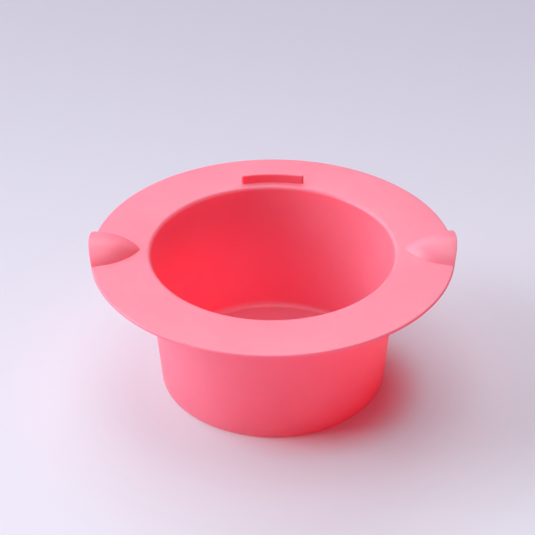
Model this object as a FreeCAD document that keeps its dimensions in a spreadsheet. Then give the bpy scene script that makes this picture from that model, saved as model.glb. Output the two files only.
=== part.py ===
"""Soft silicone wax pot: a tapered cup with a wide brim, two hollow finger grips and a scraper bar.

Frame: +Z up, origin at the centre of the underside, the grips along X, the scraper bar towards +Y.
Lengths are millimetres and angles are degrees.
"""
import FreeCAD, Part
import Sketcher
import enum
import math
import os
from FreeCAD import Vector

SHEET = "sizes"
EDGE_TOLERANCE = 1e-4
ORIGIN_POINT = (-1, 1)


class Axis(enum.IntEnum):
    """Axis of a sketch that a constraint holds a point to."""

    LEVEL = -1
    UPRIGHT = -2


class Spot(enum.IntEnum):
    """Point of a sketch line or arc that a constraint holds."""

    START = 1
    END = 2
    CENTRE = 3


# Driving sizes: alias, value, what it measures
SIZES = (
    ("pot_height", 68.8, "underside of the cup to the top of the brim"),
    ("brim_radius", 84.0, "outer radius of the brim"),
    ("brim_thickness", 1.6, "thickness of the brim"),
    ("brim_edge_bevel", 0.5, "bevel along both outer edges of the brim"),
    ("cup_top_radius", 58.9, "outer radius of the cup under the brim"),
    ("cup_base_radius", 53.2, "outer radius of the cup at its underside, before rounding"),
    ("cup_wall", 2.6, "wall of the cup, measured level"),
    ("floor_thickness", 2.8, "thickness of the floor of the cup"),
    ("floor_round", 3.5, "rounding between floor and wall inside the cup"),
    ("heel_round", 1.5, "rounding of the lower outside edge of the cup"),
    ("lip_round", 2.5, "rounding of the mouth into the brim"),
    ("throat_round", 1.0, "rounding between the outside of the cup and the brim"),
    ("foot_land", 1.0, "straight strip that the foot keeps at each end of the floor rounding"),
    ("lip_land", 0.5, "flat strip between the throat rounding and the brim plate"),
    ("grip_setback", 0.8, "flat brim between the lip section and the point where the lines of a grip meet"),
    ("grip_run", 19.0, "level distance from that point to where the crest turns level"),
    ("grip_rise", 6.2, "height of the crest above the brim"),
    ("grip_tilt", 32.0, "slope of the axis that a grip is turned about"),
    ("grip_wall", 1.8, "wall of a grip"),
    ("grip_nose_round", 2.6, "rounding of the nose of a grip"),
    ("grip_overhang", 0.8, "how far the crest leans out past the brim"),
    ("bar_setback", 0.6, "flat brim between the lip section and the scraper bar"),
    ("bar_thickness", 2.0, "thickness of the scraper bar"),
    ("bar_height", 4.5, "height of the scraper bar above the brim"),
    ("bar_angle", 28.4, "angle that the scraper bar covers about the cup"),
    ("bar_end_round", 0.9, "rounding of the upright corners of the scraper bar"),
    ("bar_top_round", 0.7, "rounding of the top edges of the scraper bar"),
    ("cut_margin", 3.0, "how far a cutting shape runs past what it cuts"),
)


class Measure:
    """A size that holds its number and the sheet expression that features are bound to."""

    def __init__(self, text, number):
        self.text = text
        self.number = number

    def __add__(self, other):
        return Measure(f"({self.text} + {other.text})", self.number + other.number)

    def __sub__(self, other):
        return Measure(f"({self.text} - {other.text})", self.number - other.number)

    def __mul__(self, other):
        return Measure(f"({self.text} * {other.text})", self.number * other.number)

    def __truediv__(self, other):
        return Measure(f"({self.text} / {other.text})", self.number / other.number)

    def tangent(self):
        """Tangent of an angle in degrees."""
        return Measure(f"tan({self.text} * 1 deg)", math.tan(math.radians(self.number)))


ZERO = Measure("0", 0.0)
TWO = Measure("2", 2.0)
FULL_TURN = Measure("360", 360.0)


class Sizes:
    """Driving sizes of the pot as named measures, with the places that follow from them."""

    def __init__(self, sheet):
        for alias, _, _ in SIZES:
            setattr(self, alias, Measure(f"{SHEET}.{alias}", float(sheet.get(alias))))
        self.brim_top = self.pot_height
        self.brim_underside = self.pot_height - self.brim_thickness
        self.lip_foot = self.brim_underside - self.lip_round
        self.lip_radius = self.cup_top_radius + self.throat_round + self.lip_land
        self.floor_radius = self.inner_radius(self.floor_thickness) - self.floor_round - self.foot_land
        self.foot_top = self.floor_thickness + self.floor_round + self.foot_land
        self.grip_tip = self.lip_radius + self.grip_setback
        self.grip_crest = self.brim_top + self.grip_rise
        self.crest_start = self.grip_tip + self.grip_run
        self.grip_end = self.brim_radius + self.grip_overhang + self.grip_rise + self.cut_margin
        self.bar_radius = self.lip_radius + self.bar_setback

    def outer_radius(self, height):
        """Outer radius of the tapered cup at a height."""
        taper = (self.cup_top_radius - self.cup_base_radius) / self.brim_underside
        return self.cup_base_radius + taper * height

    def inner_radius(self, height):
        """Inner radius of the tapered cup at a height."""
        return self.outer_radius(height) - self.cup_wall


def make_sizes(doc):
    """Put the driving sizes into a spreadsheet, one aliased cell each, and read them back."""
    sheet = doc.addObject("Spreadsheet::Sheet", SHEET)
    for row, (alias, value, meaning) in enumerate(SIZES, start=1):
        sheet.set(f"A{row}", meaning)
        sheet.set(f"B{row}", str(value))
        sheet.setAlias(f"B{row}", alias)
    doc.recompute()
    return Sizes(sheet)


def new_body(doc, label):
    """Make an empty body for one sub-part."""
    body = doc.addObject("PartDesign::Body", label)
    body.Label = label
    body.Placement = FreeCAD.Placement()
    return body


def origin_plane(body, role):
    """One of the body's own origin planes."""
    return next(item for item in body.Origin.OriginFeatures if item.Role == role)


def new_sketch(body, name, role):
    """Make a sketch on one of the body's own origin planes."""
    sketch = body.newObject("Sketcher::SketchObject", name)
    sketch.AttachmentSupport = [(origin_plane(body, role), "")]
    sketch.MapMode = "FlatFace"
    return sketch


def place(corner):
    """Sketch point of a corner that is given as two measures."""
    across, up = corner
    return Vector(across.number, up.number, 0)


def pin(sketch, geometry, end, corner):
    """Tie one end of a sketch line, or the centre of an arc, to a corner's two measures."""
    for kind, axis, measure in zip(("DistanceX", "DistanceY"), (Axis.UPRIGHT, Axis.LEVEL), corner):
        if measure is ZERO:
            sketch.addConstraint(Sketcher.Constraint("PointOnObject", geometry, end, axis))
        else:
            distance = Sketcher.Constraint(kind, *ORIGIN_POINT, geometry, end, measure.number)
            index = sketch.addConstraint(distance)
            sketch.setExpression(f"Constraints[{index}]", measure.text)


def outline_sketch(body, name, role, corners):
    """Sketch a closed outline of straight sides through the corners."""
    sketch = new_sketch(body, name, role)
    following = corners[1:] + corners[:1]
    for corner, next_corner in zip(corners, following):
        sketch.addGeometry(Part.LineSegment(place(corner), place(next_corner)))
    for index, corner in enumerate(corners):
        after = (index + 1) % len(corners)
        sketch.addConstraint(Sketcher.Constraint("Coincident", index, Spot.END, after, Spot.START))
        pin(sketch, index, Spot.START, corner)
    return sketch


def turn(body, name, sketch, axis, angle, cut=False):
    """Revolve a sketch about one of its axes, evenly to both sides, as a solid or as a cut."""
    feature = body.newObject("PartDesign::Groove" if cut else "PartDesign::Revolution", name)
    feature.Profile = sketch
    feature.ReferenceAxis = (sketch, [axis])
    feature.Midplane = True
    feature.setExpression("Angle", f"{angle.text} * 1 deg")
    body.Document.recompute()
    return feature


def round_edges(body, name, base, keep, radius):
    """Round the edges of a feature that pass a test."""
    fillet = body.newObject("PartDesign::Fillet", name)
    numbered_edges = enumerate(base.Shape.Edges, start=1)
    fillet.Base = (base, [f"Edge{number}" for number, edge in numbered_edges if keep(edge)])
    fillet.setExpression("Radius", radius.text)
    body.Document.recompute()
    return fillet


def round_ring(body, name, base, corner, radius):
    """Round the level ring that a corner of a turned outline makes."""
    def is_ring(edge):
        if not isinstance(edge.Curve, Part.Circle):
            return False
        ring = Vector(edge.Curve.Radius, edge.Curve.Center.z, 0)
        return ring.isEqual(place(corner), EDGE_TOLERANCE)
    return round_edges(body, name, base, is_ring, radius)


def make_cup_floor(doc, sizes):
    """Flat disc in the middle of the floor of the cup."""
    body = new_body(doc, "cup_floor")
    corners = (
        (ZERO, ZERO),
        (sizes.floor_radius, ZERO),
        (sizes.floor_radius, sizes.floor_thickness),
        (ZERO, sizes.floor_thickness),
    )
    outline = outline_sketch(body, "floor_outline", "XZ_Plane", corners)
    turn(body, "floor_turned", outline, "V_Axis", FULL_TURN)
    return body


def make_cup_foot(doc, sizes):
    """Rounded foot of the cup, which turns the floor upwards into the wall."""
    body = new_body(doc, "cup_foot")
    heel = (sizes.cup_base_radius, ZERO)
    floor_corner = (sizes.inner_radius(sizes.floor_thickness), sizes.floor_thickness)
    corners = (
        (sizes.floor_radius, ZERO),
        heel,
        (sizes.outer_radius(sizes.foot_top), sizes.foot_top),
        (sizes.inner_radius(sizes.foot_top), sizes.foot_top),
        floor_corner,
        (sizes.floor_radius, sizes.floor_thickness),
    )
    outline = outline_sketch(body, "foot_outline", "XZ_Plane", corners)
    foot = turn(body, "foot_turned", outline, "V_Axis", FULL_TURN)
    foot = round_ring(body, "heel", foot, heel, sizes.heel_round)
    round_ring(body, "floor_corner", foot, floor_corner, sizes.floor_round)
    return body


def make_cup_wall(doc, sizes):
    """Tapered wall of the cup between its foot and its mouth."""
    body = new_body(doc, "cup_wall")
    corners = (
        (sizes.inner_radius(sizes.foot_top), sizes.foot_top),
        (sizes.outer_radius(sizes.foot_top), sizes.foot_top),
        (sizes.outer_radius(sizes.lip_foot), sizes.lip_foot),
        (sizes.inner_radius(sizes.lip_foot), sizes.lip_foot),
    )
    outline = outline_sketch(body, "wall_outline", "XZ_Plane", corners)
    turn(body, "wall_turned", outline, "V_Axis", FULL_TURN)
    return body


def make_mouth_lip(doc, sizes):
    """Rounded mouth of the cup, which turns outwards to meet the brim."""
    body = new_body(doc, "mouth_lip")
    throat = (sizes.cup_top_radius, sizes.brim_underside)
    lip = (sizes.inner_radius(sizes.brim_top), sizes.brim_top)
    corners = (
        (sizes.inner_radius(sizes.lip_foot), sizes.lip_foot),
        (sizes.outer_radius(sizes.lip_foot), sizes.lip_foot),
        throat,
        (sizes.lip_radius, sizes.brim_underside),
        (sizes.lip_radius, sizes.brim_top),
        lip,
    )
    outline = outline_sketch(body, "lip_outline", "XZ_Plane", corners)
    mouth = turn(body, "lip_turned", outline, "V_Axis", FULL_TURN)
    mouth = round_ring(body, "lip", mouth, lip, sizes.lip_round)
    round_ring(body, "throat", mouth, throat, sizes.throat_round)
    return body


def nose_sketch(body, name, sizes, wall, nose_round):
    """Sketch half of a grip's length section, to be turned about its sloping side.

    The crest rises in an arc from a rounded nose and then runs level out past the brim. A wall
    sets the outline in from the outside of the grip.
    """
    sketch = new_sketch(body, name, "XZ_Plane")
    rise_chord_squared = sizes.grip_run * sizes.grip_run + sizes.grip_rise * sizes.grip_rise
    rise_radius = rise_chord_squared / (TWO * sizes.grip_rise)
    end = sizes.grip_end + wall
    tip = (sizes.grip_tip, sizes.brim_top)
    crest_start = (sizes.crest_start, sizes.grip_crest - wall)
    crest_end = (end, sizes.grip_crest - wall)
    axis_end = (end, sizes.brim_top - (end - sizes.grip_tip) * sizes.grip_tilt.tangent())
    rise_centre = (sizes.crest_start, sizes.grip_crest - rise_radius)

    # Where the nose circle touches the crest arc, worked out so that the sketch starts near its answer
    along = (place(axis_end) - place(tip)).normalize()
    from_tip = place(rise_centre) - place(tip)
    reach = rise_radius.number - wall.number - nose_round.number
    ahead = from_tip.dot(along)
    nose_centre = place(tip) + along * (ahead - math.sqrt(ahead ** 2 - from_tip.dot(from_tip) + reach ** 2))
    touch = nose_centre + (nose_centre - place(rise_centre)).normalize() * nose_round.number
    nose_start = nose_centre - along * nose_round.number

    def arc(centre, first, last):
        circle = Part.Circle(centre, Vector(0, 0, 1), (first - centre).Length)
        return Part.ArcOfCircle(circle, circle.parameter(first), circle.parameter(last))

    axis = sketch.addGeometry(Part.LineSegment(place(tip), place(axis_end)), True)
    rise = sketch.addGeometry(arc(place(rise_centre), place(crest_start), touch))
    nose = sketch.addGeometry(arc(nose_centre, touch, nose_start))
    level = sketch.addGeometry(Part.LineSegment(place(crest_start), place(crest_end)))
    back = sketch.addGeometry(Part.LineSegment(place(crest_end), place(axis_end)))
    inner = sketch.addGeometry(Part.LineSegment(place(axis_end), nose_start))

    pin(sketch, axis, Spot.START, tip)
    pin(sketch, axis, Spot.END, axis_end)
    pin(sketch, level, Spot.START, crest_start)
    pin(sketch, level, Spot.END, crest_end)
    pin(sketch, rise, Spot.CENTRE, rise_centre)
    sketch.addConstraint(Sketcher.Constraint("Coincident", rise, Spot.START, level, Spot.START))
    sketch.addConstraint(Sketcher.Constraint("Tangent", rise, Spot.END, nose, Spot.START))
    sketch.addConstraint(Sketcher.Constraint("PointOnObject", nose, Spot.CENTRE, axis))
    sketch.addConstraint(Sketcher.Constraint("PointOnObject", nose, Spot.END, axis))
    rounding = sketch.addConstraint(Sketcher.Constraint("Radius", nose, nose_round.number))
    sketch.setExpression(f"Constraints[{rounding}]", nose_round.text)
    sketch.addConstraint(Sketcher.Constraint("Coincident", level, Spot.END, back, Spot.START))
    sketch.addConstraint(Sketcher.Constraint("Coincident", back, Spot.END, axis, Spot.END))
    sketch.addConstraint(Sketcher.Constraint("Coincident", inner, Spot.START, axis, Spot.END))
    sketch.addConstraint(Sketcher.Constraint("Coincident", inner, Spot.END, nose, Spot.END))
    return sketch


def hollow_sketch(body, name, sizes):
    """Sketch half of the length section of the finger space inside a grip."""
    return nose_sketch(body, name, sizes, sizes.grip_wall, sizes.grip_nose_round)


def make_brim(doc, sizes):
    """Wide flat brim round the mouth, open under each grip."""
    body = new_body(doc, "brim")
    bevel_start = sizes.brim_radius - sizes.brim_edge_bevel
    corners = (
        (sizes.lip_radius, sizes.brim_underside),
        (bevel_start, sizes.brim_underside),
        (sizes.brim_radius, sizes.brim_underside + sizes.brim_edge_bevel),
        (sizes.brim_radius, sizes.brim_top - sizes.brim_edge_bevel),
        (bevel_start, sizes.brim_top),
        (sizes.lip_radius, sizes.brim_top),
    )
    outline = outline_sketch(body, "brim_outline", "XZ_Plane", corners)
    turn(body, "brim_turned", outline, "V_Axis", FULL_TURN)
    notch_outline = hollow_sketch(body, "notch_outline", sizes)
    notch = turn(body, "finger_notch", notch_outline, "Axis0", FULL_TURN, cut=True)
    both_notches = body.newObject("PartDesign::Mirrored", "finger_notches")
    both_notches.Originals = [notch]
    both_notches.MirrorPlane = (origin_plane(body, "YZ_Plane"), [""])
    body.Tip = both_notches
    doc.recompute()
    return body


def make_right_grip(doc, sizes):
    """Hollow nose-shaped finger grip, open at its outer end and below."""
    body = new_body(doc, "right_grip")
    outside = nose_sketch(body, "nose_outline", sizes, ZERO, sizes.grip_nose_round)
    turn(body, "nose", outside, "Axis0", FULL_TURN)
    inside = hollow_sketch(body, "hollow_outline", sizes)
    turn(body, "finger_space", inside, "Axis0", FULL_TURN, cut=True)
    far = sizes.grip_end * TWO
    high = sizes.grip_crest + sizes.grip_rise
    corners = (
        (ZERO, ZERO),
        (far, ZERO),
        (far, high),
        (sizes.brim_radius + sizes.grip_overhang * TWO, high),
        (sizes.brim_radius, sizes.brim_top),
        (ZERO, sizes.brim_top),
    )
    around = outline_sketch(body, "trim_outline", "XZ_Plane", corners)
    turn(body, "trim", around, "V_Axis", FULL_TURN, cut=True)
    return body


def make_left_grip(doc, right_grip):
    """Mirror image of the right grip."""
    grip = doc.addObject("Part::Mirroring", "left_grip")
    grip.Label = "left_grip"
    grip.Source = right_grip
    grip.Normal = Vector(1, 0, 0)
    doc.recompute()
    return grip


def make_scraper_bar(doc, sizes):
    """Curved upright bar on the brim, for wiping the stick."""
    body = new_body(doc, "scraper_bar")
    outside = sizes.bar_radius + sizes.bar_thickness
    top = sizes.brim_top + sizes.bar_height
    corners = (
        (sizes.bar_radius, sizes.brim_top),
        (outside, sizes.brim_top),
        (outside, top),
        (sizes.bar_radius, top),
    )
    outline = outline_sketch(body, "bar_outline", "YZ_Plane", corners)
    bar = turn(body, "bar_turned", outline, "V_Axis", sizes.bar_angle)

    def is_upright(edge):
        return edge.BoundBox.ZLength > sizes.bar_height.number - EDGE_TOLERANCE

    def is_on_top(edge):
        return edge.BoundBox.ZMin > top.number - EDGE_TOLERANCE

    ends = round_edges(body, "bar_ends", bar, is_upright, sizes.bar_end_round)
    round_edges(body, "bar_top", ends, is_on_top, sizes.bar_top_round)
    return body


def check_document(doc, nodes):
    """Stop if any object failed to build or any sub-part is not one sound solid."""
    for item in doc.Objects:
        if "Invalid" in item.State or "Error" in item.State:
            raise RuntimeError(f"{item.Name} failed to build: {item.State}")
    for node in nodes:
        if node.Shape.isNull() or not node.Shape.isValid() or len(node.Shape.Solids) != 1:
            raise RuntimeError(f"{node.Label} is not one sound solid")


def main():
    """Build every sub-part and write one file for each."""
    doc = FreeCAD.newDocument("wax_pot")
    sizes = make_sizes(doc)
    right_grip = make_right_grip(doc, sizes)
    nodes = (
        make_cup_floor(doc, sizes),
        make_cup_foot(doc, sizes),
        make_cup_wall(doc, sizes),
        make_mouth_lip(doc, sizes),
        make_brim(doc, sizes),
        right_grip,
        make_left_grip(doc, right_grip),
        make_scraper_bar(doc, sizes),
    )
    doc.recompute()
    check_document(doc, nodes)
    os.makedirs("parts", exist_ok=True)
    for node in nodes:
        node.Shape.exportStep(f"parts/{node.Label}.step")
        print(f"{node.Label}: {node.Shape.Volume:.1f} mm3")


main()
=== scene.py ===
"""Soft silicone wax pot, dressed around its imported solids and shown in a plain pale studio.

Frame: +Z up, origin at the centre of the underside, the finger grips along X, the scraper bar towards +Y.
Lengths are metres, except where MM turns millimetres into metres, and angles are degrees until used.
"""
from __future__ import annotations

import logging
import math
from abc import ABC, abstractmethod
from dataclasses import dataclass
from enum import Enum
from typing import Sequence

import bmesh
import bpy
from bmesh.types import BMesh, BMEdge, BMVert
from mathutils import Euler, Matrix, Vector


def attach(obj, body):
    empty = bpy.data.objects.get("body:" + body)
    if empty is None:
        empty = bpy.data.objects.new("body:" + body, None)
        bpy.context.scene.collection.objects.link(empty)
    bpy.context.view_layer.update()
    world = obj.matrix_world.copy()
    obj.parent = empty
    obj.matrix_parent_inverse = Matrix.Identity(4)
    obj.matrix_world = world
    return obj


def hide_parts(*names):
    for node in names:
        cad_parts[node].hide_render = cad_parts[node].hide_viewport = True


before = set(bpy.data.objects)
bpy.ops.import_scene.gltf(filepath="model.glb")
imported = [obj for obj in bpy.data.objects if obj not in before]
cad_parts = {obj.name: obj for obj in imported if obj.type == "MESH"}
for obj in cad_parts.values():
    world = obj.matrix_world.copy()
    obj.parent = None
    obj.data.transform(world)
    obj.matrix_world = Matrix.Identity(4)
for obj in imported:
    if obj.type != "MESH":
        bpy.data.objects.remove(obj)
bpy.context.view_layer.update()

MM = 0.001
BODY = "root"
UP = Vector((0.0, 0.0, 1.0))
ACROSS = Vector((0.0, 1.0, 0.0))
MERGE_DISTANCE = 0.002 * MM
CREASE_ANGLE = math.radians(32.0)
ROUND_PROFILE = 0.5
HALVINGS = 48

Colour = tuple[float, float, float]

log = logging.getLogger("wax_pot")


class Side(Enum):
    """Side of the pot that a grip stands on, as a sign along X."""

    RIGHT = 1.0
    LEFT = -1.0


class Node(Enum):
    """Shader nodes that the finishes are made of."""

    COORDINATES = "ShaderNodeTexCoord"
    NOISE = "ShaderNodeTexNoise"
    RAMP = "ShaderNodeValToRGB"
    RANGE = "ShaderNodeMapRange"
    BUMP = "ShaderNodeBump"
    SEPARATE = "ShaderNodeSeparateXYZ"
    GEOMETRY = "ShaderNodeNewGeometry"
    CLEAR = "ShaderNodeBsdfTransparent"
    TRANSLUCENT = "ShaderNodeBsdfTranslucent"
    EMISSION = "ShaderNodeEmission"
    MATH = "ShaderNodeMath"
    VECTOR_MATH = "ShaderNodeVectorMath"
    MIX_SHADER = "ShaderNodeMixShader"
    LIGHT_PATH = "ShaderNodeLightPath"
    BACKGROUND = "ShaderNodeBackground"
    WORLD_OUTPUT = "ShaderNodeOutputWorld"


class Graph:
    """Node tree of one finish, with short calls to add and join nodes."""

    def __init__(self, tree: bpy.types.NodeTree) -> None:
        """Hold the tree that nodes go into.

        Args:
            tree: Node tree of a material or of the world.
        """
        self.tree = tree

    def add(self, kind: Node, **values: object) -> bpy.types.Node:
        """Add a node and set its plain input values.

        Args:
            kind: Which node to add.
            **values: Input values by socket name, with underscores for spaces.

        Returns:
            The new node.
        """
        node = self.tree.nodes.new(kind.value)
        for name, value in values.items():
            node.inputs[name.replace("_", " ")].default_value = value
        return node

    def join(self, source: bpy.types.NodeSocket, target: bpy.types.NodeSocket) -> None:
        """Join an output to an input."""
        self.tree.links.new(source, target)

    def blend(
        self,
        share: float | bpy.types.NodeSocket,
        first: bpy.types.NodeSocket,
        second: bpy.types.NodeSocket,
    ) -> bpy.types.NodeSocket:
        """Mix two shaders.

        Args:
            share: Share of the second shader, or the output that gives it.
            first: Output of the first shader.
            second: Output of the second shader.

        Returns:
            The output with the mixed shader.
        """
        node = self.add(Node.MIX_SHADER)
        if isinstance(share, float):
            node.inputs["Fac"].default_value = share
        else:
            self.join(share, node.inputs["Fac"])
        self.join(first, node.inputs[1])
        self.join(second, node.inputs[2])
        return node.outputs["Shader"]

    def noise(
        self, place: bpy.types.NodeSocket, scale: float, detail: float, roughness: float
    ) -> bpy.types.NodeSocket:
        """Add soft noise.

        Args:
            place: Output with the place that the noise is read at.
            scale: Waves per metre.
            detail: Finer layers that are added.
            roughness: Strength of each finer layer against the one before.

        Returns:
            The output with the noise, from 0 to 1.
        """
        node = self.add(Node.NOISE, Scale=scale, Detail=detail, Roughness=roughness)
        self.join(place, node.inputs["Vector"])
        return node.outputs["Fac"]

    def bump(
        self, height: bpy.types.NodeSocket, strength: float, depth: float
    ) -> bpy.types.NodeSocket:
        """Turn a height into small bumps.

        Args:
            height: Output with the height, from 0 to 1.
            strength: How strongly the bumps turn the light.
            depth: Depth that a height of 1 stands for.

        Returns:
            The output with the turned normal.
        """
        node = self.add(Node.BUMP, Strength=strength, Distance=depth)
        self.join(height, node.inputs["Height"])
        return node.outputs["Normal"]

    def shade(
        self, value: bpy.types.NodeSocket, start: float, end: float, first: Colour, second: Colour
    ) -> bpy.types.NodeSocket:
        """Pass smoothly from one colour to another as a number grows.

        Args:
            value: Output with the number.
            start: Number up to which the first colour holds.
            end: Number from which the second colour holds.
            first: Colour at the start.
            second: Colour at the end.

        Returns:
            The output with the colour.
        """
        share = self.add(Node.RANGE, From_Min=start, From_Max=end)
        share.interpolation_type = "SMOOTHSTEP"
        self.join(value, share.inputs["Value"])
        tint = self.add(Node.RAMP)
        for element, colour in zip(tint.color_ramp.elements, (first, second)):
            element.color = (*colour, 1.0)
        self.join(share.outputs["Result"], tint.inputs["Fac"])
        return tint.outputs["Color"]

    def larger(
        self, first: bpy.types.NodeSocket, second: bpy.types.NodeSocket
    ) -> bpy.types.NodeSocket:
        """Take the larger of two numbers.

        Args:
            first: Output with the first number.
            second: Output with the second number.

        Returns:
            The output with the larger one.
        """
        node = self.add(Node.MATH)
        node.operation = "MAXIMUM"
        self.join(first, node.inputs[0])
        self.join(second, node.inputs[1])
        return node.outputs["Value"]

    def seen_rays(self) -> bpy.types.NodeSocket:
        """Pick out the rays by which the studio is seen: straight, mirrored or through a body.

        Returns:
            An output that is 1 on those rays and 0 on the others.
        """
        rays = self.add(Node.LIGHT_PATH).outputs
        indirect = self.larger(rays["Is Glossy Ray"], rays["Is Transmission Ray"])
        return self.larger(rays["Is Camera Ray"], indirect)


@dataclass(frozen=True)
class SiliconeFinish:
    """Matte moulded silicone: a soft, faintly cloudy pink skin over a body that lets red light through.

    Attributes:
        name: Name of the material.
        deep: Colour of the skin in its deeper clouds.
        pale: Colour of the skin in its paler clouds.
        through: Colour of the light that the body lets through.
        through_share: Share of the body against the skin.
        scatter_reach: How far red, green and blue light wander below the skin, in scatter_scale.
        scatter_scale: Length that the reach is counted in.
        refraction: Index of refraction of the surface.
        rough_low: Least roughness of the surface.
        rough_high: Greatest roughness of the surface.
        cloud_scale: Clouds per metre.
        cloud_detail: Finer layers in the clouds.
        cloud_roughness: Strength of those layers.
        cloud_span: Noise at which the skin is still deep, and at which it is wholly pale.
        grain_scale: Grains per metre.
        grain_detail: Finer layers in the grain.
        grain_roughness: Strength of those layers.
        grain_depth: Depth of the grain.
        grain_strength: How strongly the grain turns the light.
    """

    name: str = "coral_silicone"
    deep: Colour = (0.988, 0.462, 0.648)
    pale: Colour = (0.993, 0.500, 0.696)
    through: Colour = (0.985, 0.08, 0.12)
    through_share: float = 0.5
    scatter_reach: Colour = (1.0, 0.20, 0.25)
    scatter_scale: float = 4.0 * MM
    refraction: float = 1.7
    rough_low: float = 0.30
    rough_high: float = 0.40
    cloud_scale: float = 38.0
    cloud_detail: float = 4.0
    cloud_roughness: float = 0.55
    cloud_span: tuple[float, float] = (0.30, 0.70)
    grain_scale: float = 3200.0
    grain_detail: float = 3.0
    grain_roughness: float = 0.6
    grain_depth: float = 0.012 * MM
    grain_strength: float = 0.35

    def material(self) -> bpy.types.Material:
        """Make the silicone's material.

        Returns:
            The new material.
        """
        material = bpy.data.materials.new(self.name)
        material.use_nodes = True
        graph = Graph(material.node_tree)
        skin = graph.tree.nodes["Principled BSDF"]
        skin.subsurface_method = "RANDOM_WALK"
        skin.inputs["Subsurface Weight"].default_value = 1.0
        skin.inputs["Subsurface Radius"].default_value = self.scatter_reach
        skin.inputs["Subsurface Scale"].default_value = self.scatter_scale
        skin.inputs["IOR"].default_value = self.refraction

        place = graph.add(Node.COORDINATES).outputs["Object"]
        cloud = graph.noise(place, self.cloud_scale, self.cloud_detail, self.cloud_roughness)
        tint = graph.shade(cloud, *self.cloud_span, self.deep, self.pale)
        graph.join(tint, skin.inputs["Base Color"])

        grain = graph.noise(place, self.grain_scale, self.grain_detail, self.grain_roughness)
        rough = graph.add(Node.RANGE, To_Min=self.rough_low, To_Max=self.rough_high)
        graph.join(grain, rough.inputs["Value"])
        graph.join(rough.outputs["Result"], skin.inputs["Roughness"])
        normal = graph.bump(grain, self.grain_strength, self.grain_depth)
        graph.join(normal, skin.inputs["Normal"])

        body = graph.add(Node.TRANSLUCENT, Color=(*self.through, 1.0))
        graph.join(normal, body.inputs["Normal"])
        whole = graph.blend(self.through_share, skin.outputs["BSDF"], body.outputs["BSDF"])
        graph.join(whole, graph.tree.nodes["Material Output"].inputs["Surface"])
        return material


@dataclass(frozen=True)
class Corner:
    """Corner of a section that is turned about the pot's axis.

    Attributes:
        radius: Distance from the axis.
        height: Height over the floor.
        rounding: Radius that the corner is rounded to.
    """

    radius: float
    height: float
    rounding: float = 0.0

    @property
    def place(self) -> Vector:
        """Where the corner lies in the XZ plane."""
        return Vector((self.radius, 0.0, self.height))


def rounded_chain(bm: BMesh, corners: Sequence[Corner], segments: int) -> None:
    """Lay straight edges through corners and round the corners that ask for it.

    Args:
        bm: Mesh that takes the chain.
        corners: The chain's corners in order.
        segments: Edges in each rounding.
    """
    verts = [bm.verts.new(corner.place) for corner in corners]
    for first, second in zip(verts, verts[1:]):
        bm.edges.new((first, second))
    for index in range(1, len(corners) - 1):
        corner = corners[index]
        if corner.rounding == 0.0:
            continue
        before = corners[index - 1].place - corner.place
        after = corners[index + 1].place - corner.place
        setback = corner.rounding / math.tan(before.angle(after) / 2.0)
        bmesh.ops.bevel(
            bm,
            geom=[verts[index]],
            offset=setback,
            segments=segments,
            profile=ROUND_PROFILE,
            affect="VERTICES",
            material=-1,
        )


def arc_on(bm: BMesh, start: BMVert, centre: Vector, angle: float, steps: int) -> BMVert:
    """Carry a chain on along an arc in the XZ plane.

    Args:
        bm: Mesh that holds the chain.
        start: Last vertex of the chain.
        centre: Centre of the arc.
        angle: Turn of the arc, positive from -X over +Z towards +X.
        steps: Edges along the arc.

    Returns:
        The new last vertex.
    """
    made = bmesh.ops.spin(bm, geom=[start], cent=centre, axis=ACROSS, angle=angle, steps=steps)
    return next(item for item in made["geom_last"] if isinstance(item, BMVert))


def tidy(bm: BMesh) -> None:
    """Merge doubled points, drop slivers and turn every face outwards.

    Args:
        bm: Mesh that is tidied in place.
    """
    bmesh.ops.remove_doubles(bm, verts=bm.verts[:], dist=MERGE_DISTANCE)
    bmesh.ops.dissolve_degenerate(bm, dist=MERGE_DISTANCE, edges=bm.edges[:])
    bmesh.ops.recalc_face_normals(bm, faces=bm.faces[:])


def new_object(name: str, bm: BMesh) -> bpy.types.Object:
    """Turn a finished bmesh into an object in the scene.

    Args:
        name: Name of the object and its mesh.
        bm: The bmesh, which is freed.

    Returns:
        The new object.
    """
    mesh = bpy.data.meshes.new(name)
    bm.to_mesh(mesh)
    bm.free()
    made = bpy.data.objects.new(name, mesh)
    bpy.context.scene.collection.objects.link(made)
    return made


def carve(target: bpy.types.Object, tools: Sequence[bpy.types.Object]) -> None:
    """Cut tool shapes out of an object for good and delete the tools.

    Args:
        target: Object that is cut.
        tools: Closed shapes to take away.
    """
    for tool in tools:
        cut = target.modifiers.new("cut", "BOOLEAN")
        cut.operation = "DIFFERENCE"
        cut.solver = "EXACT"
        cut.object = tool
    bm = bmesh.new()
    bm.from_object(target, bpy.context.evaluated_depsgraph_get())
    tidy(bm)
    target.modifiers.clear()
    bm.to_mesh(target.data)
    bm.free()
    for tool in tools:
        bpy.data.meshes.remove(tool.data)


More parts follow.
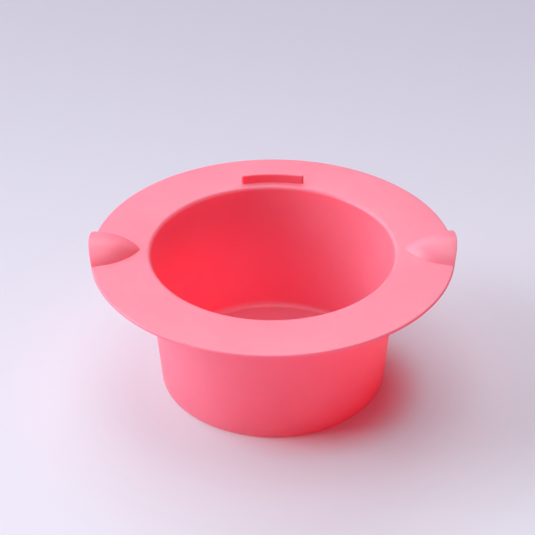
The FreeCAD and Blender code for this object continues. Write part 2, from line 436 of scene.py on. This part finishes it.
@dataclass(frozen=True)
class NoseForm:
    """Nose-shaped form of a grip: a length section turned about an axis that slopes outwards and down.

    Attributes:
        tip: Distance of the nose from the pot's axis.
        base: Height of the brim that the nose stands on.
        run: Length over which the crest rises.
        rise: Height of the crest over the brim.
        tilt: Slope of the turning axis, in degrees.
        nose_round: Radius of the tip of the nose.
        crest_end: Distance at which the level crest ends, past the brim.
        wall: How far this form lies within the outer one.
        nose_steps: Edges round the nose.
        rise_steps: Edges along the rise.
    """

    tip: float = 61.2 * MM
    base: float = 68.8 * MM
    run: float = 19.0 * MM
    rise: float = 6.2 * MM
    tilt: float = 32.0
    nose_round: float = 2.6 * MM
    crest_end: float = 94.0 * MM
    wall: float = 0.0
    nose_steps: int = 10
    rise_steps: int = 26

    @property
    def origin(self) -> Vector:
        """Point on the brim where the axis starts."""
        return Vector((self.tip, 0.0, self.base))

    @property
    def axis(self) -> Vector:
        """Direction of the axis, outwards and down."""
        slope = math.radians(self.tilt)
        return Vector((math.cos(slope), 0.0, -math.sin(slope)))

    @property
    def rise_radius(self) -> float:
        """Radius of the arc along which the crest of this form rises."""
        return (self.run ** 2 + self.rise ** 2) / (2.0 * self.rise) - self.wall

    def lay_section(self, bm: BMesh) -> BMVert:
        """Lay the section from the nose over the crest to its outer end.

        Args:
            bm: Mesh that takes the section.

        Returns:
            The vertex at the outer end of the crest.
        """
        crest = self.base + self.rise - self.wall
        rise_centre = Vector((self.tip + self.run, 0.0, crest - self.rise_radius))
        offset = rise_centre - self.origin
        reach = self.rise_radius - self.nose_round
        ahead = offset.dot(self.axis)
        along = ahead - math.sqrt(ahead ** 2 - offset.length_squared + reach ** 2)
        nose_centre = self.origin + self.axis * along
        outwards = (nose_centre - rise_centre).normalized()
        nose = bm.verts.new(nose_centre - self.axis * self.nose_round)
        touch = arc_on(bm, nose, nose_centre, (-self.axis).angle(outwards), self.nose_steps)
        crest_start = arc_on(bm, touch, rise_centre, outwards.angle(UP), self.rise_steps)
        end = bm.verts.new((self.crest_end, 0.0, crest))
        bm.edges.new((crest_start, end))
        return end

    def turn_skin(self, bm: BMesh, half_turn: float, steps: int) -> None:
        """Add an open skin: the section turned evenly to both sides of its crest.

        Args:
            bm: Mesh that takes the skin.
            half_turn: Turn to each side, in degrees.
            steps: Faces round the turn.
        """
        held = set(bm.verts)
        self.lay_section(bm)
        verts = [vert for vert in bm.verts if vert not in held]
        edges = list({edge for vert in verts for edge in vert.link_edges})
        turn = math.radians(half_turn)
        start = Matrix.Rotation(-turn, 3, self.axis)
        bmesh.ops.rotate(bm, cent=self.origin, matrix=start, verts=verts)
        bmesh.ops.spin(
            bm, geom=verts + edges, cent=self.origin, axis=self.axis, angle=2.0 * turn, steps=steps
        )

    def solid(self, steps: int) -> BMesh:
        """Turn the section right round into a closed solid.

        Args:
            steps: Faces round the turn.

        Returns:
            A bmesh with the closed solid.
        """
        bm = bmesh.new()
        end = self.lay_section(bm)
        middle = self.origin + self.axis * (end.co - self.origin).dot(self.axis)
        bm.edges.new((end, bm.verts.new(middle)))
        bmesh.ops.spin(
            bm,
            geom=bm.verts[:] + bm.edges[:],
            cent=self.origin,
            axis=self.axis,
            angle=math.tau,
            steps=steps,
            use_merge=True,
        )
        tidy(bm)
        return bm


class Piece(ABC):
    """Named part of the pot that builds one closed mesh."""

    name: str
    nodes: tuple[str, ...]

    @abstractmethod
    def shape(self) -> bpy.types.Object:
        """Build the piece's object at its place."""

    def make(self, material: bpy.types.Material) -> None:
        """Build the piece, dress it and tie it to the pot's solids.

        Args:
            material: Finish of the piece.
        """
        made = self.shape()
        made.data.materials.clear()
        made.data.materials.append(material)
        made.data.shade_smooth()
        made.data.set_sharp_from_angle(angle=CREASE_ANGLE)
        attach(made, BODY)
        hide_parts(*self.nodes)
        log.info("%s: %d faces, for %s", self.name, len(made.data.polygons), ", ".join(self.nodes))


@dataclass
class PotShell(Piece):
    """Tapered cup with its rounded mouth and wide flat brim, open under both grips.

    Attributes:
        hollow: Finger space that is cut out of the brim under each grip.
        name: Name of the piece.
        nodes: Solids that the piece stands for.
        height: Height of the top of the brim.
        brim_radius: Outer radius of the brim.
        brim_thickness: Thickness of the brim.
        brim_edge_round: Rounding of the brim's outer edge.
        cup_top_radius: Outer radius of the cup under the brim.
        cup_base_radius: Outer radius of the cup at its foot.
        cup_wall: Thickness of the wall, measured level.
        floor_thickness: Thickness of the floor.
        floor_round: Rounding between the floor and the wall inside.
        heel_round: Rounding of the foot outside.
        lip_round: Rounding of the mouth.
        throat_round: Rounding between the wall and the underside of the brim.
        steps: Faces round the pot.
        round_segments: Edges in each rounding.
        hollow_steps: Faces round the finger space.
    """

    hollow: NoseForm
    name: str = "pot_shell"
    nodes: tuple[str, ...] = ("cup_floor", "cup_foot", "cup_wall", "mouth_lip", "brim")
    height: float = 68.8 * MM
    brim_radius: float = 84.0 * MM
    brim_thickness: float = 1.6 * MM
    brim_edge_round: float = 0.72 * MM
    cup_top_radius: float = 58.9 * MM
    cup_base_radius: float = 53.2 * MM
    cup_wall: float = 2.6 * MM
    floor_thickness: float = 2.8 * MM
    floor_round: float = 3.5 * MM
    heel_round: float = 1.5 * MM
    lip_round: float = 2.0 * MM
    throat_round: float = 1.0 * MM
    steps: int = 288
    round_segments: int = 10
    hollow_steps: int = 96

    @property
    def brim_underside(self) -> float:
        """Height of the underside of the brim."""
        return self.height - self.brim_thickness

    def outer_radius(self, height: float) -> float:
        """Outer radius of the cup at a height."""
        share = height / self.brim_underside
        return self.cup_base_radius + (self.cup_top_radius - self.cup_base_radius) * share

    def inner_radius(self, height: float) -> float:
        """Inner radius of the cup at a height."""
        return self.outer_radius(height) - self.cup_wall

    def section(self) -> tuple[Corner, ...]:
        """Section of the shell, from the middle of the underside round to the middle of the floor.

        Returns:
            The section's corners in order.
        """
        return (
            Corner(0.0, 0.0),
            Corner(self.cup_base_radius, 0.0, self.heel_round),
            Corner(self.cup_top_radius, self.brim_underside, self.throat_round),
            Corner(self.brim_radius, self.brim_underside, self.brim_edge_round),
            Corner(self.brim_radius, self.height, self.brim_edge_round),
            Corner(self.inner_radius(self.height), self.height, self.lip_round),
            Corner(self.inner_radius(self.floor_thickness), self.floor_thickness, self.floor_round),
            Corner(0.0, self.floor_thickness),
        )

    def notch_tool(self, side: Side) -> bpy.types.Object:
        """Closed shape of the finger space under one grip.

        Args:
            side: Which grip.

        Returns:
            The tool's object.
        """
        bm = self.hollow.solid(self.hollow_steps)
        bmesh.ops.scale(bm, vec=(side.value, 1.0, 1.0), verts=bm.verts[:])
        bmesh.ops.recalc_face_normals(bm, faces=bm.faces[:])
        return new_object(f"notch_tool_{side.name.lower()}", bm)

    def shape(self) -> bpy.types.Object:
        """Turn the section and cut the finger notches.

        Returns:
            The shell's object.
        """
        bm = bmesh.new()
        rounded_chain(bm, self.section(), self.round_segments)
        bmesh.ops.spin(
            bm,
            geom=bm.verts[:] + bm.edges[:],
            cent=(0.0, 0.0, 0.0),
            axis=UP,
            angle=math.tau,
            steps=self.steps,
            use_merge=True,
        )
        tidy(bm)
        made = new_object(self.name, bm)
        carve(made, [self.notch_tool(side) for side in Side])
        return made


@dataclass
class FingerGrip(Piece):
    """Raised hollow nose on the brim, open below and at its outer end.

    Attributes:
        side: Side of the pot that the grip stands on.
        outside: Form of its outer skin.
        inside: Form of its inner skin.
        brim_radius: Distance of the outer end from the pot's axis, at the brim.
        overhang: How far the outer end leans out at the crest.
        root_depth: Depth to which the grip reaches into the brim.
        edge_round: Rounding of the outer end's edges.
        edge_segments: Edges in that rounding.
        half_turn: Turn of the skins to each side of the crest, in degrees.
        steps: Faces round the turn.
    """

    side: Side
    outside: NoseForm
    inside: NoseForm
    brim_radius: float = 84.0 * MM
    overhang: float = 0.8 * MM
    root_depth: float = 1.0 * MM
    edge_round: float = 0.35 * MM
    edge_segments: int = 4
    half_turn: float = 78.0
    steps: int = 84

    def __post_init__(self) -> None:
        """Name the grip and its node for the side."""
        self.name = f"{self.side.name.lower()}_finger_grip"
        self.nodes = (f"{self.side.name.lower()}_grip",)

    def past_end(self, place: Vector) -> float:
        """Measure how far a point lies outside the leaning outer end of the grip.

        Args:
            place: The point.

        Returns:
            The distance away from the pot's axis, negative within the grip.
        """
        lean = self.overhang / self.outside.rise
        limit = self.brim_radius + lean * (place.z - self.outside.base)
        return math.hypot(place.x, place.y) - limit

    def draw_in(self, vert: BMVert) -> None:
        """Slide a vertex that is past the outer end back along its edge until it meets the end.

        Args:
            vert: Vertex at the far end of a straight edge that starts within the grip.
        """
        near = next(
            edge.other_vert(vert).co.copy()
            for edge in vert.link_edges
            if self.past_end(edge.other_vert(vert).co) < 0.0
        )
        far = vert.co.copy()
        for _ in range(HALVINGS):
            middle = (near + far) / 2.0
            if self.past_end(middle) < 0.0:
                near = middle
            else:
                far = middle
        vert.co = near

    def shape(self) -> bpy.types.Object:
        """Turn both skins, close the outer end and cut the grip level inside the brim.

        Returns:
            The grip's object.
        """
        bm = bmesh.new()
        for form in (self.outside, self.inside):
            form.turn_skin(bm, self.half_turn, self.steps)
        ends = [vert for vert in bm.verts if self.past_end(vert.co) > 0.0]
        for vert in ends:
            self.draw_in(vert)
        rims = [edge for edge in bm.edges if all(vert in ends for vert in edge.verts)]
        bmesh.ops.bridge_loops(bm, edges=rims)
        bmesh.ops.recalc_face_normals(bm, faces=bm.faces[:])
        bmesh.ops.bevel(
            bm,
            geom=rims,
            offset=self.edge_round,
            segments=self.edge_segments,
            profile=ROUND_PROFILE,
            affect="EDGES",
            material=-1,
        )
        bmesh.ops.bisect_plane(
            bm,
            geom=bm.verts[:] + bm.edges[:] + bm.faces[:],
            plane_co=(0.0, 0.0, self.outside.base - self.root_depth),
            plane_no=UP,
            clear_inner=True,
        )
        tidy(bm)
        bmesh.ops.contextual_create(bm, geom=[edge for edge in bm.edges if edge.is_boundary])
        bmesh.ops.scale(bm, vec=(self.side.value, 1.0, 1.0), verts=bm.verts[:])
        bmesh.ops.recalc_face_normals(bm, faces=bm.faces[:])
        return new_object(self.name, bm)


@dataclass
class ScraperBar(Piece):
    """Curved upright bar on the brim, for wiping the stick.

    Attributes:
        name: Name of the piece.
        nodes: Solids that the piece stands for.
        inner_radius: Radius of the bar's face towards the mouth.
        thickness: Thickness of the bar.
        base: Height of the brim that the bar stands on.
        height: Height of the bar over the brim.
        span: Angle that the bar covers round the pot, in degrees.
        root_depth: Depth to which the bar reaches into the brim.
        end_round: Rounding of the upright corners at its ends.
        top_round: Rounding of its top.
        steps: Faces along the bar, each longer than a rounding.
        round_segments: Edges in each rounding.
    """

    name: str = "scraper_bar_rib"
    nodes: tuple[str, ...] = ("scraper_bar",)
    inner_radius: float = 61.0 * MM
    thickness: float = 2.0 * MM
    base: float = 68.8 * MM
    height: float = 4.5 * MM
    span: float = 28.4
    root_depth: float = 0.4 * MM
    end_round: float = 0.95 * MM
    top_round: float = 0.85 * MM
    steps: int = 24
    round_segments: int = 5

    def shape(self) -> bpy.types.Object:
        """Sweep the bar's upright section along its arc and round its ends and top.

        Returns:
            The bar's object.
        """
        bm = bmesh.new()
        foot = self.base - self.root_depth
        top = self.base + self.height
        outer_radius = self.inner_radius + self.thickness
        corners = (
            (self.inner_radius, foot),
            (outer_radius, foot),
            (outer_radius, top),
            (self.inner_radius, top),
        )
        half_span = math.radians(self.span) / 2.0
        section = bm.faces.new([bm.verts.new((0.0, radius, height)) for radius, height in corners])
        start = Matrix.Rotation(-half_span, 3, UP)
        bmesh.ops.rotate(bm, cent=(0.0, 0.0, 0.0), matrix=start, verts=section.verts[:])
        bmesh.ops.spin(
            bm,
            geom=[section] + section.verts[:] + section.edges[:],
            cent=(0.0, 0.0, 0.0),
            axis=UP,
            angle=2.0 * half_span,
            steps=self.steps,
        )
        tidy(bm)
        upright = [edge for edge in bm.edges if self.is_end_corner(edge)]
        self.round_off(bm, upright, self.end_round)
        rim = [edge for edge in bm.edges if self.is_top_rim(edge, top)]
        self.round_off(bm, rim, self.top_round)
        tidy(bm)
        return new_object(self.name, bm)

    def round_off(self, bm: BMesh, edges: Sequence[BMEdge], radius: float) -> None:
        """Round edges of the bar.

        Args:
            bm: The bar's mesh.
            edges: Edges to round.
            radius: Radius of the rounding.
        """
        bmesh.ops.bevel(
            bm,
            geom=list(edges),
            offset=radius,
            segments=self.round_segments,
            profile=ROUND_PROFILE,
            affect="EDGES",
            clamp_overlap=False,
            material=-1,
        )

    def is_end_corner(self, edge: BMEdge) -> bool:
        """Whether an edge stands upright at an end of the bar."""
        rise = abs(edge.verts[0].co.z - edge.verts[1].co.z)
        return rise > self.height and edge.calc_face_angle(0.0) > CREASE_ANGLE

    def is_top_rim(self, edge: BMEdge, top: float) -> bool:
        """Whether an edge runs round the top of the bar."""
        level = all(abs(vert.co.z - top) < MERGE_DISTANCE for vert in edge.verts)
        return level and edge.calc_face_angle(0.0) > CREASE_ANGLE


@dataclass(frozen=True)
class FloorFinish:
    """Smooth pale paper, darker towards the back as painted shade and with a painted red shadow in the
    pot's shade, that is clear from below.

    Attributes:
        name: Name of the material.
        near: Colour of the paper at the front.
        far: Colour of the paper at the back, darker as painted shade for light that falls off there.
        near_place: Place along Y up to which the front colour holds.
        far_place: Place along Y from which the back colour holds.
        glow: Colour that lifts the paper evenly where it is seen; its pink tint adds painted red light to
            the pot's shadow.
        glow_share: Share of that lift.
        painted_red_shadow: Painted red shadow: colour of the lift beside the pot, dark in green and blue
            as shade, and red for the light that its wall lets through.
        painted_red_shadow_place: Middle of the painted red shadow, on the shaded side of the pot.
        painted_red_shadow_core: Distance from there up to which the painted red shadow is full.
        painted_red_shadow_reach: Distance from there at which the painted red shadow ends.
        roughness: Roughness of the paper.
        mirror_level: Strength of its mirrored light.
        grain_scale: Grains per metre.
        grain_detail: Finer layers in the grain.
        grain_roughness: Strength of those layers.
        grain_depth: Depth of the grain.
        grain_strength: How strongly the grain turns the light.
    """

    name: str = "pale_paper"
    near: Colour = (0.712, 0.754, 0.869)
    far: Colour = (0.353, 0.375, 0.477)
    near_place: float = -0.25
    far_place: float = 0.58
    glow: Colour = (0.95, 0.77, 0.88)
    glow_share: float = 0.27
    painted_red_shadow: Colour = (1.0, 0.06, 0.09)
    painted_red_shadow_place: tuple[float, float, float] = (15.0 * MM, -11.0 * MM, 0.0)
    painted_red_shadow_core: float = 37.0 * MM
    painted_red_shadow_reach: float = 62.0 * MM
    roughness: float = 0.75
    mirror_level: float = 0.2
    grain_scale: float = 900.0
    grain_detail: float = 4.0
    grain_roughness: float = 0.5
    grain_depth: float = 0.02 * MM
    grain_strength: float = 0.2

    def material(self) -> bpy.types.Material:
        """Make the paper's material.

        Returns:
            The new material.
        """
        material = bpy.data.materials.new(self.name)
        material.use_nodes = True
        graph = Graph(material.node_tree)
        paper = graph.tree.nodes["Principled BSDF"]
        paper.inputs["Roughness"].default_value = self.roughness
        paper.inputs["Specular IOR Level"].default_value = self.mirror_level
        place = graph.add(Node.COORDINATES).outputs["Object"]
        split = graph.add(Node.SEPARATE)
        graph.join(place, split.inputs["Vector"])
        # The paper's colour darkens from front to back: painted shade, for light that falls off towards
        # the back.
        tint = graph.shade(split.outputs["Y"], self.near_place, self.far_place, self.near, self.far)
        graph.join(tint, paper.inputs["Base Color"])
        grain = graph.noise(place, self.grain_scale, self.grain_detail, self.grain_roughness)
        normal = graph.bump(grain, self.grain_strength, self.grain_depth)
        graph.join(normal, paper.inputs["Normal"])

        # Painted red shadow: beside the pot's shaded side the lift turns deep red, darkening green and
        # blue there as shade and keeping red for the light that the wall lets through.
        away = graph.add(Node.VECTOR_MATH)
        away.operation = "DISTANCE"
        away.inputs[1].default_value = self.painted_red_shadow_place
        graph.join(place, away.inputs[0])
        lift = graph.shade(away.outputs["Value"], self.painted_red_shadow_core, self.painted_red_shadow_reach, self.painted_red_shadow, self.glow)
        glow = graph.add(Node.EMISSION)
        graph.join(lift, glow.inputs["Color"])
        lifted = graph.blend(self.glow_share, paper.outputs["BSDF"], glow.outputs["Emission"])
        shown = graph.blend(graph.seen_rays(), paper.outputs["BSDF"], lifted)
        clear = graph.add(Node.CLEAR).outputs["BSDF"]
        from_below = graph.add(Node.GEOMETRY).outputs["Backfacing"]
        whole = graph.blend(from_below, shown, clear)
        graph.join(whole, graph.tree.nodes["Material Output"].inputs["Surface"])
        return material


@dataclass(frozen=True)
class StudioLight:
    """Soft square lamp that is aimed at the pot.

    Attributes:
        name: Name of the lamp.
        place: Where it hangs.
        watts: Power of its light.
        size: Length of its sides.
        aim: Point that it faces.
    """

    name: str
    place: tuple[float, float, float]
    watts: float
    size: float = 1.8
    aim: tuple[float, float, float] = (0.0, 0.0, 0.05)

    def make(self) -> None:
        """Hang the lamp."""
        lamp = bpy.data.lights.new(self.name, "AREA")
        lamp.shape = "SQUARE"
        lamp.size = self.size
        lamp.energy = self.watts
        made = bpy.data.objects.new(self.name, lamp)
        made.location = self.place
        heading = Vector(self.aim) - Vector(self.place)
        made.rotation_euler = heading.to_track_quat("-Z", "Y").to_euler()
        bpy.context.scene.collection.objects.link(made)
        log.info("%s: %.1f W", self.name, self.watts)


@dataclass
class Studio:
    """Pale floor, soft lamps, even surrounding light and the camera.

    Attributes:
        floor_size: Length of the floor's sides.
        floor_cells: Faces along each side of the floor.
        floor_gap: How far the floor lies below the pot.
        surround: Colour of the light from all around.
        surround_strength: Strength of that light.
        backdrop: Colour that is seen past the floor.
        camera_place: Where the camera stands.
        camera_turn: Turns of the camera about X, Y and Z, in degrees.
        light_bounces: How often light may bounce.
        lens: Focal length, in millimetres.
        sensor: Width of the sensor, in millimetres.
        lamps: The lamps.
    """

    floor_size: float = 12.0
    floor_cells: int = 4
    floor_gap: float = 0.2 * MM
    surround: Colour = (0.86, 0.86, 0.93)
    surround_strength: float = 0.05
    backdrop: Colour = (0.74, 0.72, 0.80)
    camera_place: tuple[float, float, float] = (-0.23 * MM, -681.79 * MM, 504.10 * MM)
    camera_turn: tuple[float, float, float] = (56.835, 0.233, 0.032)
    light_bounces: int = 16
    lens: float = 117.757
    sensor: float = 36.0
    lamps: tuple[StudioLight, ...] = (
        StudioLight("left_window", (-2.62, 0.0, 1.89), 65.0),
        StudioLight("low_left_window", (-3.09, 0.0, 0.88), 33.0),
        StudioLight("back_left_window", (-1.85, 1.85, 1.89), 33.0),
        StudioLight("back_lamp", (0.0, 1.97, 2.57), 32.0),
        StudioLight("overhead_lamp", (0.0, 0.0, 3.25), 32.0),
    )

    def make_floor(self) -> None:
        """Lay the floor under the pot."""
        bm = bmesh.new()
        bmesh.ops.create_grid(
            bm,
            x_segments=self.floor_cells,
            y_segments=self.floor_cells,
            size=self.floor_size / 2.0,
            matrix=Matrix.Translation((0.0, 0.0, -self.floor_gap)),
        )
        made = new_object("floor", bm)
        made.data.materials.append(FloorFinish().material())

    def make_surround(self) -> None:
        """Fill the world with even light, and show the camera a plain pale backdrop."""
        world = bpy.data.worlds.new("surround")
        world.use_nodes = True
        bpy.context.scene.world = world
        graph = Graph(world.node_tree)
        graph.tree.nodes.clear()
        light = graph.add(Node.BACKGROUND, Color=(*self.surround, 1.0), Strength=self.surround_strength)
        backdrop = graph.add(Node.BACKGROUND, Color=(*self.backdrop, 1.0), Strength=1.0)
        choice = graph.blend(
            graph.seen_rays(), light.outputs["Background"], backdrop.outputs["Background"]
        )
        graph.join(choice, graph.add(Node.WORLD_OUTPUT).inputs["Surface"])

    def make_camera(self) -> None:
        """Set up the camera and make it the scene's own."""
        camera = bpy.data.cameras.new("studio_camera")
        camera.lens = self.lens
        camera.sensor_width = self.sensor
        made = bpy.data.objects.new("studio_camera", camera)
        made.location = self.camera_place
        made.rotation_euler = Euler([math.radians(turn) for turn in self.camera_turn], "XYZ")
        bpy.context.scene.collection.objects.link(made)
        bpy.context.scene.camera = made

    def make(self) -> None:
        """Set up the whole studio."""
        self.make_camera()
        self.make_floor()
        self.make_surround()
        for lamp in self.lamps:
            lamp.make()
        scene = bpy.context.scene
        scene.cycles.max_bounces = self.light_bounces
        scene.cycles.diffuse_bounces = self.light_bounces
        scene.view_settings.view_transform = "Standard"


def main() -> None:
    """Build the pot, dress it and set up the studio."""
    logging.basicConfig(level=logging.INFO, format="%(message)s")
    thin_silicone = SiliconeFinish()
    # The bar wears a darker, less translucent copy of the silicone: painted shade for its face, which is
    # turned away from the lamps.
    shaded_bar_silicone = SiliconeFinish(
        name="painted_shade_coral_silicone",
        deep=(0.960, 0.340, 0.470),
        pale=(0.970, 0.368, 0.505),
        through_share=0.35,
    )
    outside = NoseForm()
    inside = NoseForm(wall=1.8 * MM)
    notch = NoseForm(wall=1.7 * MM)
    thin_pieces = [PotShell(notch)]
    thin_pieces += [FingerGrip(side, outside, inside) for side in Side]
    for pieces, finish in ((thin_pieces, thin_silicone), ([ScraperBar()], shaded_bar_silicone)):
        material = finish.material()
        for piece in pieces:
            piece.make(material)
    Studio().make()


if __name__ == "__main__":
    main()
